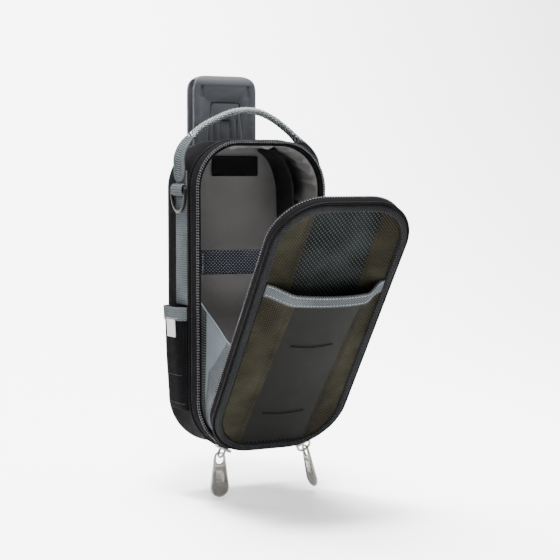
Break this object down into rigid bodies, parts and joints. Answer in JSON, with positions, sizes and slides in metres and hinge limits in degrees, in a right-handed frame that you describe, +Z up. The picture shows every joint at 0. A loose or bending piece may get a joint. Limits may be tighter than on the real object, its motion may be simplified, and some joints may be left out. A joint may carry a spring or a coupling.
{
  "type": "tool pouch",
  "caption": "Belt-clip tool pouch with a zip-round drop-front flap, padded body, front and side pockets, carry handle and D-rings.",
  "frame": {"origin": "middle of the belt clip's bridge, on its underside, where the belt's top edge bears", "axes": "+Z up, -Y to the front where the flap opens, +X to the right of someone facing the flap"},
  "size_m": [0.1554, 0.2725, 0.3969],
  "materials": {
    "black_cloth": "coarse ballistic nylon weave",
    "grey_lining": "smooth light grey lining cloth",
    "grey_webbing": "ribbed grey nylon webbing",
    "olive_cloth": "close olive nylon weave",
    "coated_cloth": "smooth rubber-coated black cloth",
    "zip_teeth": "black moulded nylon",
    "clip_plastic": "fine-textured charcoal moulding",
    "gunmetal": "antiqued nickel",
    "black_metal": "black lacquered wire",
    "tag_cloth": "pale grey woven tag"
  },
  "bodies": {
    "pouch": {"back_panel": "black_cloth", "side_wall": "black_cloth", "lining": "grey_lining", "body_piping": "coated_cloth", "body_zip_tape": "black_cloth", "body_zip_teeth": "zip_teeth", "inner_label": "coated_cloth", "meter_strap": "black_cloth", "inner_divider": "black_cloth", "side_pocket": "black_cloth", "side_pocket_band": "grey_webbing", "side_tag": "tag_cloth", "side_webbing_left": "grey_webbing", "side_webbing_right": "grey_webbing", "gusset_left": "grey_lining", "gusset_right": "grey_lining", "hinge_fabric": "black_cloth", "back_pad": "black_cloth", "clip_receiver": "clip_plastic", "rivet_1": "gunmetal", "rivet_2": "gunmetal", "rivet_3": "gunmetal", "rivet_4": "gunmetal", "belt_clip": "clip_plastic"},
    "flap": {"flap_lining": "grey_lining", "flap_panel": "coated_cloth", "flap_zip_tape": "black_cloth", "flap_zip_teeth": "zip_teeth", "flap_piping": "coated_cloth", "flap_binding": "black_cloth", "weave_panel": "black_cloth", "trim_strip_left": "olive_cloth", "trim_strip_right": "olive_cloth", "pocket_centre": "coated_cloth", "pocket_side_left": "olive_cloth", "pocket_side_right": "olive_cloth", "pocket_band": "grey_webbing"},
    "handle": {"carry_handle": "grey_webbing"},
    "ring_left": {"d_ring_left": "black_metal"},
    "ring_right": {"d_ring_right": "black_metal"},
    "zip_slider_left": {"slider_left": "gunmetal"},
    "zip_slider_right": {"slider_right": "gunmetal"},
    "zip_pull_left": {"pull_left": "gunmetal"},
    "zip_pull_right": {"pull_right": "gunmetal"},
    "clip_tongue": {"release_tongue": "clip_plastic"}
  },
  "joints": [
    {"name": "flap_hinge", "type": "hinge", "parent": "pouch", "child": "flap", "pos_m": [0, -0.09, -0.343], "axis": [1, 0, 0], "range_deg": [-34.5, 0], "deforming": ["gusset_left", "gusset_right", "hinge_fabric"]},
    {"name": "handle_swing", "type": "hinge", "parent": "pouch", "child": "handle", "pos_m": [0, -0.058, -0.087], "axis": [1, 0, 0], "range_deg": [-40, 40]},
    {"name": "ring_left_swing", "type": "hinge", "parent": "pouch", "child": "ring_left", "pos_m": [-0.0718, -0.058, -0.105], "axis": [0, 1, 0], "range_deg": [0, 85]},
    {"name": "ring_right_swing", "type": "hinge", "parent": "pouch", "child": "ring_right", "pos_m": [0.0718, -0.058, -0.105], "axis": [0, 1, 0], "range_deg": [-85, 0]},
    {"name": "slider_left_travel", "type": "hinge", "parent": "pouch", "child": "zip_slider_left", "pos_m": [-0.0185, -0.09, -0.302], "axis": [0, 1, 0], "range_deg": [0, 58]},
    {"name": "slider_right_travel", "type": "hinge", "parent": "pouch", "child": "zip_slider_right", "pos_m": [0.0185, -0.09, -0.302], "axis": [0, 1, 0], "range_deg": [-58, 0]},
    {"name": "pull_left_swing", "type": "hinge", "parent": "zip_slider_left", "child": "zip_pull_left", "pos_m": [-0.04551, -0.09, -0.35501], "axis": [1, 0, 0], "range_deg": [-34, 34]},
    {"name": "pull_right_swing", "type": "hinge", "parent": "zip_slider_right", "child": "zip_pull_right", "pos_m": [0.04551, -0.09, -0.35501], "axis": [0, 1, 0], "range_deg": [-45, 14]},
    {"name": "tongue_press", "type": "hinge", "parent": "pouch", "child": "clip_tongue", "pos_m": [0, -0.007, -0.065], "axis": [1, 0, 0], "range_deg": [-5, 0], "stiffness_Nm_per_rad": 3}
  ]
}
